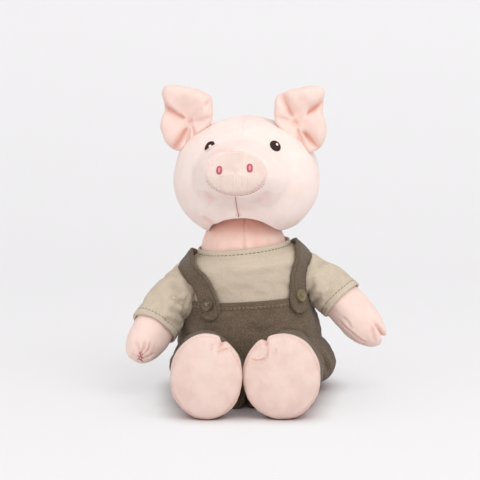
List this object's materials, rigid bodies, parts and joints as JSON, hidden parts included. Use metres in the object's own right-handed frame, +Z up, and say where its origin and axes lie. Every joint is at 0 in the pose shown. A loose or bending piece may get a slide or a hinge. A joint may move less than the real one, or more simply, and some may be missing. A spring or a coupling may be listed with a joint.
{
  "type": "plush pig",
  "caption": "Sitting plush pig with folded ears, in a short-sleeved shirt and dungarees with buttoned straps; head, ears, arms, legs and tail turn.",
  "frame": {"origin": "on the floor plane, on the flat seat of the dungarees behind the thighs", "axes": "+Z up, the pig faces -Y, its left side is at +X"},
  "size_m": [0.195, 0.1756, 0.2283],
  "materials": {
    "plush": "short soft pile",
    "filling": "loose polyester fibre",
    "jersey": "fine knit",
    "twill": "brushed twill",
    "sole_plush": "short soft pile, a little paler",
    "nostril_thread": "satin stitch",
    "eye_thread": "satin stitch",
    "button": "satin"
  },
  "bodies": {
    "torso": {"torso_skin": "plush", "torso_filling": "filling", "seat_pellet_pouch": "filling", "shirt_body": "jersey", "shirt_collar": "jersey", "dungarees_body": "twill", "left_strap": "twill", "right_strap": "twill", "left_button": "button", "right_button": "button"},
    "neck": {"neck": "plush"},
    "head": {"head_skin": "plush", "head_filling": "filling", "snout_panel": "sole_plush", "left_eye": "eye_thread", "right_eye": "eye_thread", "left_nostril": "nostril_thread", "right_nostril": "nostril_thread"},
    "left_ear": {"left_ear": "plush"},
    "right_ear": {"right_ear": "plush"},
    "left_arm": {"left_arm_skin": "plush", "left_arm_filling": "filling", "left_sleeve": "jersey"},
    "right_arm": {"right_arm_skin": "plush", "right_arm_filling": "filling", "right_sleeve": "jersey"},
    "left_leg": {"left_leg_skin": "plush", "left_leg_filling": "filling", "left_sole": "sole_plush", "left_trouser_leg": "twill"},
    "right_leg": {"right_leg_skin": "plush", "right_leg_filling": "filling", "right_sole": "sole_plush", "right_trouser_leg": "twill"},
    "tail": {"tail": "plush"}
  },
  "joints": [
    {"name": "neck_turn", "type": "hinge", "parent": "torso", "child": "neck", "pos_m": [-0.003, -0.016, 0.104], "axis": [0, 0, 1], "range_deg": [-35, 35]},
    {"name": "head_nod", "type": "hinge", "parent": "neck", "child": "head", "pos_m": [-0.003, -0.016, 0.104], "axis": [0.9925, -0.1219, 0], "range_deg": [-13, 12]},
    {"name": "left_shoulder", "type": "hinge", "parent": "torso", "child": "left_arm", "pos_m": [0.0425, -0.017, 0.087], "axis": [-1, 0, 0], "range_deg": [-28, 48]},
    {"name": "left_hip", "type": "hinge", "parent": "torso", "child": "left_leg", "pos_m": [0.03, -0.038, 0.0245], "axis": [1, 0, 0], "range_deg": [-12, 75]},
    {"name": "left_ear_flop", "type": "hinge", "parent": "head", "child": "left_ear", "pos_m": [0.03188, -0.02935, 0.191], "axis": [0.7491, -0.092, -0.6561], "range_deg": [-15, 20], "stiffness_Nm_per_rad": 0.004},
    {"name": "right_shoulder", "type": "hinge", "parent": "torso", "child": "right_arm", "pos_m": [-0.0425, -0.017, 0.081], "axis": [-1, 0, 0], "range_deg": [-8, 48]},
    {"name": "right_hip", "type": "hinge", "parent": "torso", "child": "right_leg", "pos_m": [-0.0296, -0.038, 0.0245], "axis": [1, 0, 0], "range_deg": [-12, 75]},
    {"name": "right_ear_flop", "type": "hinge", "parent": "head", "child": "right_ear", "pos_m": [-0.03908, -0.02064, 0.191], "axis": [0.7491, -0.092, 0.6561], "range_deg": [-15, 20], "stiffness_Nm_per_rad": 0.004},
    {"name": "tail_wag", "type": "hinge", "parent": "torso", "child": "tail", "pos_m": [0.00202, 0.02399, 0.027], "axis": [0, 0, 1], "range_deg": [-12, 12], "stiffness_Nm_per_rad": 0.003}
  ]
}
